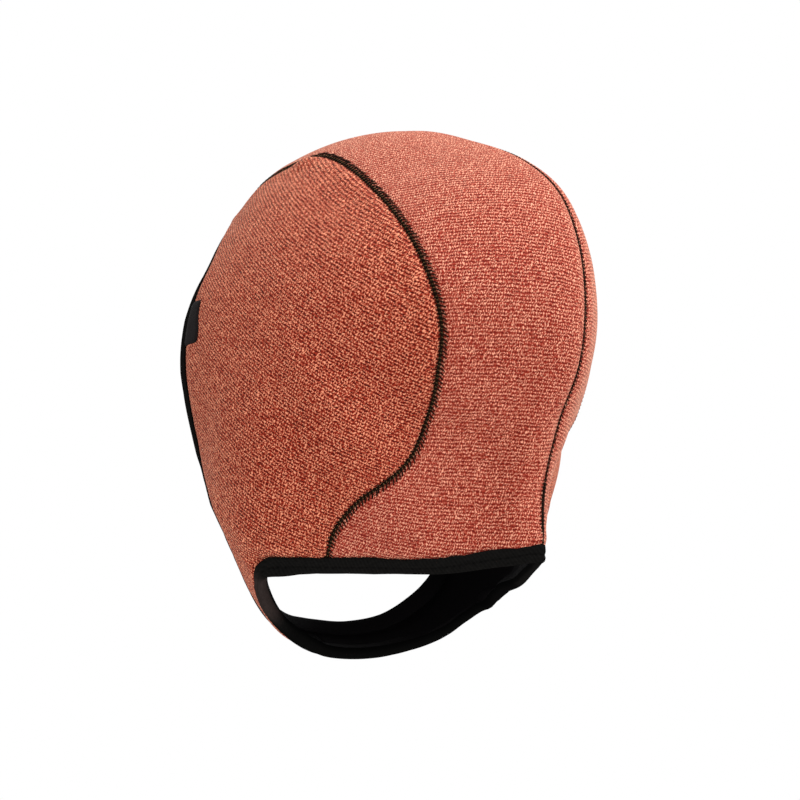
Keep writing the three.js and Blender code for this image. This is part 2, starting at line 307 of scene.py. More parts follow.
def lamp(name, place_, size, power):
    """A square soft lamp that faces the ears of the wearer."""
    data = bpy.data.lights.new(name, "AREA")
    data.size = size
    data.energy = power
    ob = bpy.data.objects.new(name, data)
    bpy.context.scene.collection.objects.link(ob)
    facing = unit(place_ - ears)
    level = unit(np.cross(UPRIGHT, facing))
    ob.matrix_world = standing(place_, (level, np.cross(facing, level), facing))


lamp("top_lamp", ears + 0.45 * right + 1.0 * UPRIGHT + 0.2 * back, size=0.8, power=15)
lamp("rear_lamp", ears + 1.1 * right + 0.35 * UPRIGHT + 0.1 * back, size=0.6, power=4)

world = bpy.data.worlds.new("white_surround")
bpy.context.scene.world = world
world.use_nodes = True
world.node_tree.nodes["Background"].inputs["Color"].default_value = (1, 1, 1, 1)
world.node_tree.nodes["Background"].inputs["Strength"].default_value = 1.0
bpy.context.scene.view_settings.view_transform = "Standard"

FLOOR_LEVEL = -0.46
FLOOR_RADIUS = 3
floor_data = bpy.data.meshes.new("floor")
floor_net = bmesh.new()
bmesh.ops.create_circle(floor_net, cap_ends=True, segments=96, radius=FLOOR_RADIUS)
floor_net.to_mesh(floor_data)
floor_net.free()
floor = bpy.data.objects.new("floor", floor_data)
floor.location.z = FLOOR_LEVEL
bpy.context.scene.collection.objects.link(floor)

# %% [markdown]
# ## Shader maths as Python
#
# A finish is a small calculation that is done at every point of a surface. Written with node calls it is
# hard to follow, so this class lets a wire between two nodes be added, multiplied or taken from 1 like
# any number. Colours go through Mix nodes, because a Math node would turn them grey.

# %% Wires with operators


class Wire:
    def __init__(self, bench, socket):
        self.bench = bench
        self.socket = socket

    def math(self, operation, *values):
        return self.bench.node("ShaderNodeMath", {"operation": operation}, dict(enumerate(values)))

    def __add__(self, other):
        return self.math("ADD", self, other)

    def __radd__(self, other):
        return self.math("ADD", other, self)

    def __sub__(self, other):
        return self.math("SUBTRACT", self, other)

    def __rsub__(self, other):
        return self.math("SUBTRACT", other, self)

    def __mul__(self, other):
        return self.math("MULTIPLY", self, other)

    def __rmul__(self, other):
        return self.math("MULTIPLY", other, self)

    def __truediv__(self, other):
        return self.math("DIVIDE", self, other)

    def __pow__(self, other):
        return self.math("POWER", self, other)

    def floor(self):
        return self.math("FLOOR", self)

    def sin(self):
        return self.math("SINE", self)

    def cos(self):
        return self.math("COSINE", self)

    def clamp(self):
        return self.bench.node("ShaderNodeClamp", {}, {"Value": self})


# The Mix node has sockets for numbers, vectors and colours. These are its factor and its colours.
MIX_INPUTS = (0, 6, 7)
MIX_OUTPUT = 2


class Bench:
    """A material under construction: it makes nodes, links them, and ends in one surface shader."""

    def __init__(self, name):
        self.material = bpy.data.materials.new(name)
        self.material.use_nodes = True
        self.tree = self.material.node_tree
        self.surface = self.tree.nodes["Principled BSDF"]

    def connect(self, target, value):
        if isinstance(value, Wire):
            self.tree.links.new(value.socket, target)
        else:
            target.default_value = value

    def node(self, kind, settings, sockets, output=0):
        made = self.tree.nodes.new(kind)
        for name, value in settings.items():
            setattr(made, name, value)
        for name, value in sockets.items():
            self.connect(made.inputs[name], value)
        return Wire(self, made.outputs[output])

    def attribute(self, name):
        return self.node("ShaderNodeAttribute", {"attribute_name": name}, {}, "Fac")

    def vector(self, x, y, z=0.0):
        return self.node("ShaderNodeCombineXYZ", {}, {"X": x, "Y": y, "Z": z})

    def noise(self, where, scale, detail=2.0, roughness=0.5):
        return self.node(
            "ShaderNodeTexNoise",
            {},
            {"Vector": where, "Scale": scale, "Detail": detail, "Roughness": roughness},
            "Fac",
        )

    def chance(self, cell):
        """A random number from 0 to 1 that stays the same all over a cell."""
        return self.node("ShaderNodeTexWhiteNoise", {"noise_dimensions": "2D"}, {"Vector": cell}, "Value")

    def mix(self, factor, first, second):
        sockets = dict(zip(MIX_INPUTS, (factor, first, second)))
        return self.node("ShaderNodeMix", {"data_type": "RGBA"}, sockets, MIX_OUTPUT)

    def object_place(self):
        return self.node("ShaderNodeTexCoord", {}, {}, "Object")

    def ramp(self, value, low, high):
        return self.node(
            "ShaderNodeMapRange",
            {"interpolation_type": "SMOOTHSTEP"},
            {"Value": value, "From Min": low, "From Max": high},
        )

    def bump(self, height, distance, strength=1.0):
        return self.node(
            "ShaderNodeBump", {}, {"Height": height, "Distance": distance, "Strength": strength}
        )

    def finish(self, varying, **even):
        """Sets the surface: varying inputs from a dictionary, even ones by keyword."""
        for name, value in varying.items():
            self.connect(self.surface.inputs[name], value)
        for name, value in even.items():
            self.surface.inputs[name.replace("_", " ").title().replace("Ior", "IOR")].default_value = value
        return self.material


def shade(red, green, blue):
    """A colour as a paint chart gives it, 0 to 255, turned into the linear light that a shader needs."""
    parts = [value / 255 for value in (red, green, blue)]
    linear = [p / 12.92 if p <= 0.04045 else ((p + 0.055) / 1.055) ** 2.4 for p in parts]
    return (*linear, 1.0)


# %% [markdown]
# ## The cloth
#
# The outside of the foam cloth is a knit of two yarns, a deep red one and a pale peach one, which show
# in turn and give the heathered look. The finish reads two lengths that are stored at every point of a
# panel, in millimetres across and along the courses of the cloth, so the courses stay as even as on a
# real panel. Short slanted loops cross each course, and fine noise breaks the yarn up into specks. The
# two ripples are uneven in strength from speck to speck, so that neither looks printed. The knit of the
# crown panels is flatter, paler and softer than that of the side panels.

# %% The knit finish
COURSE = 1.45
LOOP = 1.05
SPECK = 0.42
FULL_TURN = 2 * math.pi


def knit_finish(name, deep, body, pale, depth, speckle, down):
    """Three tones of yarn, the strength of its ripples and of its specks, and how downy it is."""
    bench = Bench(name)
    across = bench.attribute("across")
    along = bench.attribute("along")
    where = bench.vector(across, along)
    # Slow and quick waves keep the courses from lying dead straight.
    wander = bench.noise(where, 0.11, 2.0) - 0.5
    tremble = bench.noise(where, 0.55, 2.0) - 0.5
    course = across / COURSE + wander * 1.1 + tremble * 0.8
    ridge = 0.5 - 0.5 * (course * FULL_TURN).cos()
    loops = along / LOOP + course * 0.55 + tremble * 2.5
    loop = 0.5 - 0.5 * (loops * FULL_TURN).cos()
    # Specks of two kinds: square cells with an even chance each, and soft grains.
    cell = bench.vector((across / SPECK + tremble * 3).floor(), (along / SPECK + wander * 3).floor())
    chance = bench.chance(cell) - 0.5
    speck = bench.noise(bench.vector(across * 2.9, along * 2.1), 1.0, 2.0, 0.7) - 0.5
    cloud = bench.noise(where, 0.06, 3.0) - 0.5
    yarn = 0.5 + (ridge - 0.5) * depth * (1 + speck * 2) + (loop - 0.5) * (0.6 + chance * 1.6)
    yarn = yarn + speck * (1.5 * speckle) + chance * speckle * 0.9 + cloud * 0.12
    tone = bench.mix(bench.ramp(yarn, -0.15, 0.5), deep, body)
    tone = bench.mix(bench.ramp(yarn, 0.5, 1.15), tone, pale)
    return bench.finish(
        {"Base Color": tone, "Normal": bench.bump(ridge * 0.6 + yarn * 0.5, 0.0005, 0.6)},
        roughness=0.85,
        sheen_weight=down,
        sheen_roughness=0.45,
        sheen_tint=shade(248, 226, 194),
        specular_ior_level=0.12,
    )


orange_knit = knit_finish(
    "orange_knit", shade(62, 3, 1), shade(146, 34, 12), shade(236, 151, 117),
    depth=0.66, speckle=0.92, down=0.17,
)
coral_knit = knit_finish(
    "coral_knit", shade(88, 8, 5), shade(153, 45, 29), shade(235, 161, 133),
    depth=0.6, speckle=0.7, down=0.3,
)

# %% [markdown]
# The black parts aren't all one black: there is the smooth lining face of the foam, a stretch tape with
# a fine twill that binds the openings, hard twisted sewing thread, and a small matt patch. The tape's
# finish counts millimetres round its section from the sewn edge of the outer leaf. Its stitching runs
# where that leaf dips, and the fold turns under a little farther on.

# %% Black finishes


def lining_finish():
    bench = Bench("smooth_lining")
    where = bench.object_place()
    grain = bench.noise(where, 900.0, 2.0)
    return bench.finish(
        {
            "Base Color": bench.mix(grain, shade(7, 6, 7), shade(14, 12, 13)),
            "Normal": bench.bump(grain, 0.0001, 0.5),
        },
        roughness=0.8,
        specular_ior_level=0.02,
    )


STITCHED_AT = 5.4
# Girths, in mm round the section, of the fold's underside, which is darkened with painted shade.
FOLD_SHADE_FROM, FOLD_SHADE_TO = 10.8, 12.4


def tape_finish():
    """Twill, with painted shade under the fold, round the chin and down the far side, and a painted sheen
    at the near jaw.
    """
    bench = Bench("stretch_tape")
    round_ = bench.attribute("across")
    along = bench.attribute("along")
    twill = ((round_ * 2.1 + along * 4.2).sin() + 1) * 0.5
    fuzz = bench.noise(bench.vector(round_ * 0.8, along * 0.5), 1.0, 4.0, 0.6)
    from_line = (round_ - STITCHED_AT) * 1.6 + (fuzz - 0.5) * 1.5
    stitch_line = (1 - from_line**2).clamp() * ((along * 2.4).sin() * 0.4 + 0.6)
    tone = bench.mix(fuzz * 0.7 + twill * 0.15, shade(5, 5, 5), shade(28, 27, 26))
    tone = bench.mix(stitch_line * 0.4, tone, shade(1, 1, 1))
    # Painted shade darkens the fold's underside, and the tape round the chin and down the far side.
    for dark in (bench.ramp(round_, FOLD_SHADE_FROM, FOLD_SHADE_TO), bench.attribute("painted_shade")):
        tone = bench.mix(dark * 0.8, tone, shade(6, 6, 6))
    # Painted sheen: the tape is paled at the near jaw, where it turns down the strap.
    tone = bench.mix(bench.attribute("painted_sheen") * (0.3 + fuzz * 0.7), tone, shade(54, 45, 43))
    return bench.finish(
        {
            "Base Color": tone,
            "Roughness": 0.6 + fuzz * 0.25,
            "Normal": bench.bump(twill * 0.35 + fuzz * 0.8, 0.00025, 0.8),
        },
        specular_ior_level=0.0,
    )


def thread_finish(name, tone, gloss):
    bench = Bench(name)
    along = bench.attribute("along")
    around = bench.attribute("across")
    ply = ((along * 7.0 + around * 2.0 * math.pi).sin() + 1) * 0.5
    dark = tuple(0.45 * part for part in tone[:3]) + (1.0,)
    return bench.finish(
        {"Base Color": bench.mix(ply, dark, tone), "Normal": bench.bump(ply, 0.0001, 0.8)},
        roughness=0.6,
        specular_ior_level=gloss,
    )


def patch_finish():
    bench = Bench("matt_patch")
    where = bench.object_place()
    grain = bench.noise(where, 1500.0, 3.0, 0.6)
    return bench.finish(
        {
            "Base Color": bench.mix(grain, shade(8, 7, 7), shade(28, 22, 22)),
            "Normal": bench.bump(grain, 0.0001, 0.6),
        },
        roughness=0.7,
        specular_ior_level=0.05,
    )


lining = lining_finish()
tape = tape_finish()
black_thread = thread_finish("black_thread", shade(32, 20, 12), 0.03)
olive_thread = thread_finish("olive_thread", shade(132, 104, 66), 0.05)
patch_black = patch_finish()
floor_bench = Bench("pale_floor")
floor_speck = floor_bench.noise(floor_bench.object_place(), 3.0)
floor_tone = floor_bench.mix(floor_speck, shade(232, 232, 230), shade(238, 238, 237))
floor.data.materials.append(floor_bench.finish({"Base Color": floor_tone}, roughness=0.9))
print("finishes:", len(bpy.data.materials))

# %% [markdown]
# ## Panels
#
# Each panel is drawn twice, as a grid of points on the form and again 2.5 mm inside it, and the two are
# closed into a shell, so the cloth has its real thickness and a black inner face. The outer grid then
# gets the small reliefs that make sewn foam look sewn: it sinks where a seam pulls it together, it is
# pressed flat under the tape, and it swells a little beside the tape.

# %% Grids and reliefs
EASE_ALONG = 0.3
# The side panel's pointed tip at the forehead is cut blunt, at this share of its length.
BLUNT_TIP = 0.012
# Distances are measured in batches, because all of them at once would fill the memory.
BATCHES = 60


def eased(steps, ease=0.6):
    """Shares of a length, with closer steps near both ends, where the relief is."""
    even = np.linspace(0, 1, steps + 1)
    return (1 - ease) * even + ease * (1 - np.cos(np.pi * even)) / 2


def crown_grid(along_steps, across_steps):
    u = eased(along_steps, EASE_ALONG)
    v = eased(across_steps)
    low, high = sighted(middle_line(u)), sighted(crown_seam(u))
    grid = low[:, None] * (1 - v[None, :, None]) + high[:, None] * v[None, :, None]
    for edge, weight in ((forehead_edge, (1 - u) ** 2), (nape_edge, u**2)):
        line = sighted(edge(v))
        off_chord = line - (line[:1] * (1 - v[:, None]) + line[-1:] * v[:, None])
        grid = grid + weight[:, None, None] * off_chord
    return place(grid[..., 0], grid[..., 1])


def side_grid(seam_steps, strap_steps, across_steps):
    u = np.maximum(eased(seam_steps, EASE_ALONG), BLUNT_TIP)
    w = np.linspace(0, 1, strap_steps + 1)[1:]
    v = eased(across_steps)[None, :, None]
    first = np.vstack([cheek_edge(u), strap_face_edge(w)])
    second = np.vstack([crown_seam(u), strap_neck_edge(w)])
    return on_form(first[:, None] * (1 - v) + second[:, None] * v)


def distance_to(points, line):
    flat = points.reshape(-1, 3)
    nearest = np.concatenate([
        np.linalg.norm(batch[:, None] - line[None], axis=-1).min(1)
        for batch in np.array_split(flat, BATCHES)
    ])
    return nearest.reshape(points.shape[:-1])


fine = np.linspace(0, 1, 260)
seam_line = crown_seam(fine)
middle = middle_line(fine)
face_line = np.vstack([forehead_edge(fine), cheek_edge(fine), strap_face_edge(fine)])
neck_line = np.vstack([nape_edge(fine), strap_neck_edge(fine)])
chin_line = on_form(np.linspace(strap_face_edge([1.0])[0], strap_neck_edge([1.0])[0], 60))
print("face opening:", round(2 * float(distance_along(face_line)[-1])), "mm round")


def smooth(value, low, high):
    part = np.clip((value - low) / (high - low), 0, 1)
    return part * part * (3 - 2 * part)


# The bindings draw the rims in or let them stand out, and the cloth behind the face rim stays full.
# Columns of the first table: turn past the crown in degrees, how far the face rim is drawn in, and how
# full the cloth is 10 mm behind it, both in mm. Columns of the second: turn, how far the neck rim stands
# out in mm (or is drawn in, below 0), and the neck tape's outer leaf as a share of its full width, which
# is least at the tight corner by the jaw.
RIM_DRAW = np.array([
    (0, 2.0, 0.0), (30, 2.3, 0.0), (35, 2.35, 0.4), (40, 2.2, 1.0), (46, 1.7, 1.5), (50, 1.2, 1.8),
    (55, 0.5, 1.8), (59, 0.0, 1.8), (71, 0.1, 1.8), (75, 0.6, 1.6), (83.5, 0.7, 1.5), (88, 0.5, 1.8),
    (92, 0.7, 2.2), (95, 0.9, 2.7), (97.5, 1.6, 2.4), (101, 2.4, 1.9), (106, 3.0, 1.1), (113, 3.3, 0.5),
    (122, 3.0, 0.2), (136, 1.5, 0.0), (156, 0.5, 0.0), (180, 0.0, 0.0),
])
NECK_DRAW = np.array([
    (0, 0, 0.8), (60, 0, 0.8), (78, 0, 0.85), (88, -0.6, 0.93), (93.5, -2.1, 0.97), (98, -2.7, 1),
    (100, -2, 1), (101.3, -0.9, 0.98), (102.3, 0, 0.9), (103.3, 0.5, 0.68), (105, 1.0, 0.42),
    (107, 1.3, 0.35), (109, 1.5, 0.34), (112, 1.7, 0.34), (116, 2.0, 0.36), (121, 1.9, 0.42),
    (128, 1.3, 0.55), (136, 0.6, 0.7), (146, 0.1, 0.85), (160, 0, 1), (180, 0, 1),
])
# Distances in from a rim, in mm: where the fullness rises and falls, and how far the draw reaches.
FULL_RISE, FULL_FALL = (1, 9), (14, 44)
FACE_DRAW_REACH = 12
NECK_DRAW_REACH, NECK_FLARE_REACH = 16, 10


def from_table(table, turn, column):
    return np.interp(turn, table[:, 0], table[:, column])


def on_left(points):
    """The same points, with those of the right half mirrored to the left."""
    return np.concatenate([np.abs(points[..., :1]), points[..., 1:]], -1)


def turn_of(points):
    return sighted(on_left(points))[..., 0]


def lie(points):
    """How far the cloth lies outside the form, in mm, because of how the cap hangs."""
    turn = turn_of(points)
    from_face = distance_to(on_left(points), face_line)
    from_neck = distance_to(on_left(points), neck_line)
    full = smooth(from_face, *FULL_RISE) * (1 - smooth(from_face, *FULL_FALL))
    full = from_table(RIM_DRAW, turn, 2) * full
    drawn = from_table(RIM_DRAW, turn, 1) * (1 - smooth(from_face, 0, FACE_DRAW_REACH))
    out = from_table(NECK_DRAW, turn, 1)
    reach = np.where(out < 0, NECK_DRAW_REACH, NECK_FLARE_REACH)
    return full - drawn + out * (1 - smooth(from_neck / reach, 0, 1))


# Beside the middle seam the crown panels stand fuller low at the back. Columns: tilt, fullness in mm.
BACK_FULL = np.array([
    (60, 0.2), (100, 0.5), (118, 0.8), (127, 1.5), (133, 2.2), (140, 2.4), (148, 2.5), (155, 1.8),
    (160, 1.2),
])
FULLEST_AT, FULL_WIDTH = 10, 6.5
# Each side panel bulges once beside the crown seam, high on the head and a little before the ear.
BULGE_AT = np.array([42.6, -12.5, 65.2])
BULGE_HEIGHT, BULGE_SIZE = 1.7, 5.2
# Under a tape the cloth is pressed flat, and beyond the tape it swells.
PRESSED, PRESSED_TO, FREE_FROM = 0.55, 5.5, 8.5
TAPE_SWELL, SWOLLEN_AT, SWELL_WIDTH = 0.45, 11, 3.5


def hump(away, width):
    """A smooth hump, 1 where the distance is none and nearly 0 beyond twice the width."""
    return np.exp(-((away / width) ** 2))


def fullness(points):
    away = distance_to(points, middle) - FULLEST_AT
    return from_table(BACK_FULL, sighted(points)[..., 1], 1) * hump(away, FULL_WIDTH)


def relief(points, seams, bulged):
    """How far the cloth stands proud of the form, in mm."""
    rise = lie(points)
    if bulged:
        rise += BULGE_HEIGHT * hump(np.linalg.norm(points - BULGE_AT, axis=-1), BULGE_SIZE)
    else:
        rise += fullness(points)
    for line, depth, width, swell in seams:
        away = distance_to(points, line)
        rise += swell * hump(away - 3.6 * width, 2.0 * width) - depth * hump(away, width)
    for line, leaf in ((face_line, 1.0), (neck_line, from_table(NECK_DRAW, turn_of(points), 2))):
        away = distance_to(points, line) / leaf
        rise -= PRESSED * (1 - smooth(away, PRESSED_TO, FREE_FROM))
        rise += TAPE_SWELL * hump(away - SWOLLEN_AT, SWELL_WIDTH)
    return rise


# %% [markdown]
# A pattern cutter would ask what a panel looks like flat, because that is how the knit lies on it.
# Blender's unwrap answers that: it presses the curved grid flat with as little stretch as it can. The
# flat lengths are stored on the points, turned so that the courses run the way they do on the cap.

# %% Flattening a panel and closing it into a shell
FAN_LENGTH = 100
WIDENING_END = 1.1
OVERLAP = 0.03
EDGE_AND_NEXT = {
    "low": (np.s_[:, 0], np.s_[:, 1]),
    "high": (np.s_[:, -1], np.s_[:, -2]),
    "chin": (np.s_[-1], np.s_[-2]),
}
FLIPPED = {"crown": True, "side": False}


def quads(rows, columns, flipped):
    index = np.arange(rows * columns).reshape(rows, columns)
    faces = np.stack([index[:-1, :-1], index[1:, :-1], index[1:, 1:], index[:-1, 1:]], -1).reshape(-1, 4)
    return faces[:, ::-1] if flipped else faces


def shell_faces(rows, columns):
    """The faces of a grid, of a second grid below it, and of the rim that joins the two."""
    index = np.arange(rows * columns).reshape(rows, columns)
    rim = np.concatenate([index[0], index[1:, -1], index[-1, -2::-1], index[-2:0:-1, 0]])
    after = np.roll(rim, -1)
    rim_faces = np.stack([rim, after, after + index.size, rim + index.size], -1)
    return quads(rows, columns, False), quads(rows, columns, True) + index.size, rim_faces


def diagonals(faces):
    return faces[:, 2] - faces[:, 0], faces[:, 3] - faces[:, 1]


def mesh_object(name, points, faces, materials, face_materials=None):
    data = bpy.data.meshes.new(name)
    data.from_pydata((np.asarray(points) * MM + [0, 0, LIFT * MM]).tolist(), [], [list(f) for f in faces])
    for material in materials:
        data.materials.append(material)
    if face_materials is not None:
        data.polygons.foreach_set("material_index", np.asarray(face_materials, np.int32))
    data.polygons.foreach_set("use_smooth", np.ones(len(faces), bool))
    data.update()
    ob = bpy.data.objects.new(name, data)
    bpy.context.scene.collection.objects.link(ob)
    return ob


def store(ob, name, values):
    ob.data.attributes.new(name, "FLOAT", "POINT").data.foreach_set("value", np.asarray(values, np.float32))


def area_of(grid):
    a, b = diagonals(grid.reshape(-1, 3)[quads(*grid.shape[:2], False)])
    return float(np.linalg.norm(np.cross(a, b), axis=1).sum() / 2)


def fanned(across, along, fan):
    """Courses of the stretched cloth: they lean, stand wider apart at two edges, and bend as they run.

    Beyond WIDENING_END their spacing grows no more, because they would fold back on themselves there.
    """
    across_part, along_part = across / FAN_LENGTH, along / FAN_LENGTH
    near = np.clip(across_part, -WIDENING_END, WIDENING_END)
    widened = FAN_LENGTH * (near**3 + 3 * near**2 * (across_part - near))
    courses = (
        fan["spread"] * across
        + fan["lean"] * along
        - fan["widen"] * widened
        - fan["twist"] * across * along_part
        - fan["bend"] * along * along_part
        - fan["curl"] * along * along_part**2
    )
    return courses, along - fan["lean"] * across


def flat_lengths(grid, course_way, fan):
    """Two lengths in mm for each point of the flattened grid: across the courses, and along them."""
    rows, columns = grid.shape[:2]
    sheet = mesh_object("flat_trial", grid.reshape(-1, 3), quads(rows, columns, False), [])
    bpy.ops.object.select_all(action="DESELECT")
    sheet.select_set(True)
    bpy.context.view_layer.objects.active = sheet
    bpy.ops.object.mode_set(mode="EDIT")
    bpy.ops.mesh.select_all(action="SELECT")
    bpy.ops.uv.unwrap(method="CONFORMAL", margin=0.0)
    bpy.ops.object.mode_set(mode="OBJECT")
    uv = np.zeros(len(sheet.data.loops) * 2, np.float32)
    sheet.data.uv_layers.active.data.foreach_get("uv", uv)
    corner = np.zeros(len(sheet.data.loops), np.int32)
    sheet.data.loops.foreach_get("vertex_index", corner)
    flat = np.zeros((rows * columns, 2))
    flat[corner] = uv.reshape(-1, 2)
    a, b = diagonals(flat[quads(rows, columns, False)])
    flat_area = np.abs(a[:, 0] * b[:, 1] - a[:, 1] * b[:, 0]).sum() / 2
    flat = (flat - flat.mean(0)) * math.sqrt(area_of(grid) / flat_area)
    slope = np.linalg.lstsq(flat, course_way.ravel() - course_way.mean(), rcond=None)[0]
    slope /= np.linalg.norm(slope)
    bpy.data.objects.remove(sheet)
    across, along = flat @ slope, flat @ np.array([slope[1], -slope[0]])
    size = sorted([np.ptp(across) * MM, np.ptp(along) * MM])
    print(f"flat panel: {size[0] / MM:.0f} by {size[1] / MM:.0f} mm")
    return *fanned(across, along, fan), tuple(float(length) for length in size)


def reach_over(grid, edge):
    """Lets an edge of a grid reach a hair over the seam, so that no light comes through the joint."""
    last, before = EDGE_AND_NEXT[edge]
    grid[last] -= OVERLAP * unit(grid[before] - grid[last])


def panel(name, grid, seams, edges, course_way, fan, knit, node):
    """A panel and its mirror image. The knit is on the outer face, the lining on the inner and the rim."""
    normal = normal_at(grid)
    outer = grid + normal * relief(grid, seams, name == "side")[..., None]
    inner = grid - normal * WALL
    for edge in edges:
        reach_over(outer, edge)
        reach_over(inner, edge)
    across, along, flat_size = flat_lengths(grid, course_way, fan)
    points = np.vstack([outer.reshape(-1, 3), inner.reshape(-1, 3)])
    parts = shell_faces(*grid.shape[:2])
    faces = np.vstack(parts)
    kinds = np.repeat([0, 1, 1], [len(part) for part in parts])
    for side, mirror in (("left", 1), ("right", -1)):
        ordered = faces[:, ::-1] if (mirror > 0) == FLIPPED[name] else faces
        shown = points * ([1, 1, 1] if mirror > 0 else MIRROR)
        ob = mesh_object(f"{name}_{side}_cloth", shown, ordered, [knit, lining], kinds)
        store(ob, "across", np.tile(across, 2))
        store(ob, "along", np.tile(along, 2) * mirror)
        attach(ob, "root")
        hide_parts(f"{node}_{side}")
        area_of(grid) * MM**2
    print(f"{name}: {len(faces)} faces a side, {area_of(grid) / 100:.0f} cm2 of cloth")


crown = crown_grid(along_steps=150, across_steps=44)
crown_way = np.tile(np.linspace(0, seam_length, crown.shape[0])[:, None], (1, crown.shape[1]))
# A seam of a panel is a line, the depth of its groove, the groove's width and the swell beside it, in mm.
crown_seams = [(seam_line, 0.7, 1.5, 0.3), (middle, 0.55, 1.2, 0.55)]
CROWN_FAN = {"spread": 0.96, "lean": -0.26, "widen": 0, "twist": 0, "bend": 0, "curl": 0.28}
panel(
    "crown", crown, crown_seams, ["low", "high"], crown_way, CROWN_FAN,
    coral_knit, "crown_panel",
)

COURSE_FALL = math.radians(32)
side = side_grid(seam_steps=130, strap_steps=70, across_steps=56)
side_way = side @ np.array([0, math.sin(COURSE_FALL), math.cos(COURSE_FALL)])
side_seams = [(seam_line, 0.7, 1.5, 0.45), (chin_line, 0.4, 1.2, 0.1)]
SIDE_FAN = {"spread": 1.33, "lean": 0.29, "widen": 0.2, "twist": 0.2, "bend": 0.32, "curl": 0}
panel(
    "side", side, side_seams, ["chin"], side_way, SIDE_FAN,
    orange_knit, "side_panel",
)

# %% [markdown]
# ## Bindings
#
# A binding is a strip of stretch tape that is folded over the raw edge of the cloth and sewn through, so
# it has a round fold beyond the edge and a leaf on each face. Its section is drawn once and carried
# round the opening. The section turns with the form at each station, as tape does. A point of the
# section is how far it lies in from the edge, and how far it rises above the cloth's outer face. The
# inner leaf, from its fold on, takes the finish of the lining.
#
# The tape is painted blacker round the chin and down the far side, which is painted shade, and paler at the
# near jaw where it turns down the strap, which is a painted sheen. Two lengthwise measures carry this
# painted shade and sheen to the finish.

# %% Tape round the openings
TAPE_SECTION = [
    (6.9, 0.1), (7.05, 0.55), (6.7, 1.0), (5.6, 1.15), (4.2, 1.2), (3.1, 1.05), (2.5, 0.85), (1.9, 1.05),
    (1.0, 1.3), (-0.5, 1.1), (-1.35, 0.3), (-1.65, -1.25), (-1.35, -2.8), (-0.5, -3.55), (1.0, -3.8),
    (3.8, -3.75), (6.2, -3.6), (6.95, -3.2), (6.9, -2.75), (3.0, -2.7), (0.0, -2.65), (-0.35, -1.25),
    (0.0, -0.05), (3.0, 0.05),
]
INNER_LEAF = 13
# Turns past the crown, in degrees, between which the tape's painted shade grows, and its painted sheen
# grows and fades.
PAINTED_SHADE_CHIN = (122, 140)
PAINTED_SHADE_FAR_SIDE = (50, 66)
PAINTED_SHEEN_FROM, PAINTED_SHEEN_TO = (103, 107), (118, 130)
# Waves of the outer leaf's sewn edge: height and length in mm, and the seed.
EDGE_WAVES = [(0.22, 9.0, 21), (0.15, 3.5, 22), (0.2, 1.5, 23)]


def stations(stretches):
    left = np.vstack([edge(np.linspace(0, 1, steps + 1)[:-1]) for edge, steps in stretches])
    left = np.vstack([left, stretches[-1][0]([1.0])])
    return np.vstack([left, left[1:-1][::-1] * MIRROR])


def tape_round(points, sign, into, rise):
    """One line of the tape round the opening, into mm in from the edge and rise mm above the cloth."""
    ahead = unit(np.roll(points, -1, 0) - np.roll(points, 1, 0))
    inward = unit(np.cross(normal_at(points), ahead)) * sign
    base = on_form(points + inward * into[:, None])
    return base + normal_at(base) * (rise + lie(base))[..., None]


def wave(run, height, length, seed):
    """A gentle random wave along a run, in mm, that closes on itself."""
    chance = np.random.default_rng(seed)
    count = max(4, int(run[-1] / length))
    knots = np.append(chance.uniform(-1, 1, count), 0)
    knots[-1] = knots[0]
    return height * np.interp(run, np.linspace(0, run[-1], count + 1), knots)


def section_lines(points, sign, leaf, edge_wave):
    """The lines that the section's points draw round the opening, its outer leaf as wide as leaf says."""
    for into, rise in TAPE_SECTION:
        inward = into * (leaf if into > 0 else np.sqrt(leaf))
        if into > 6 and rise > -1:
            inward = inward + edge_wave
        yield tape_round(points, sign, inward, rise)


def binding(name, stretches, sign, node, narrowed=False):
    """A tape round an opening. The sign says on which side of the edge the cloth lies."""
    points = stations(stretches)
    turn = turn_of(points)
    leaf = from_table(NECK_DRAW, turn, 2) if narrowed else np.ones(len(points))
    run = distance_along(np.vstack([points, points[:1]]))
    tape_length = run[-1]
    run = run[:-1]
    edge_wave = sum(wave(run, *shape) for shape in EDGE_WAVES)
    rings = np.stack(list(section_lines(points, sign, leaf, edge_wave)), 1)
    rows, columns = rings.shape[:2]
    index = np.arange(rows * columns).reshape(rows, columns)
    after, beside = np.roll(index, -1, 0), np.roll(index, -1, 1)
    faces = np.stack([index, after, np.roll(after, -1, 1), beside], -1).reshape(-1, 4)
    ordered = faces if sign < 0 else faces[:, ::-1]
    kinds = np.tile(np.arange(columns) >= INNER_LEAF, rows).astype(int)
    ob = mesh_object(name, rings.reshape(-1, 3), ordered, [tape, lining], kinds)
    store(ob, "across", np.tile(distance_along(np.array(TAPE_SECTION)), rows))
    store(ob, "along", np.repeat(run, columns))
    on_far_side, on_near_side = points[:, 0] < 0, points[:, 0] > 0
    # Painted shade: the tape is darkened round the chin and down the far side.
    painted_shade = np.maximum(smooth(turn, *PAINTED_SHADE_CHIN), smooth(turn, *PAINTED_SHADE_FAR_SIDE) * on_far_side)
    # Painted sheen pales the neck tape at the near jaw.
    painted_sheen = smooth(turn, *PAINTED_SHEEN_FROM) * (1 - smooth(turn, *PAINTED_SHEEN_TO)) * on_near_side * narrowed
    store(ob, "painted_shade", np.repeat(painted_shade, columns))
    store(ob, "painted_sheen", np.repeat(painted_sheen, columns))
    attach(ob, "root")
    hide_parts(node)
    print(f"{name}: {tape_length:.0f} mm of tape")


FACE_STRETCHES = [(forehead_edge, 60), (cheek_edge, 120), (strap_face_edge, 80)]
NECK_STRETCHES = [(nape_edge, 150), (strap_neck_edge, 100)]
binding("face_tape", FACE_STRETCHES, 1, "face_binding")
binding("neck_tape", NECK_STRETCHES, -1, "neck_binding", narrowed=True)

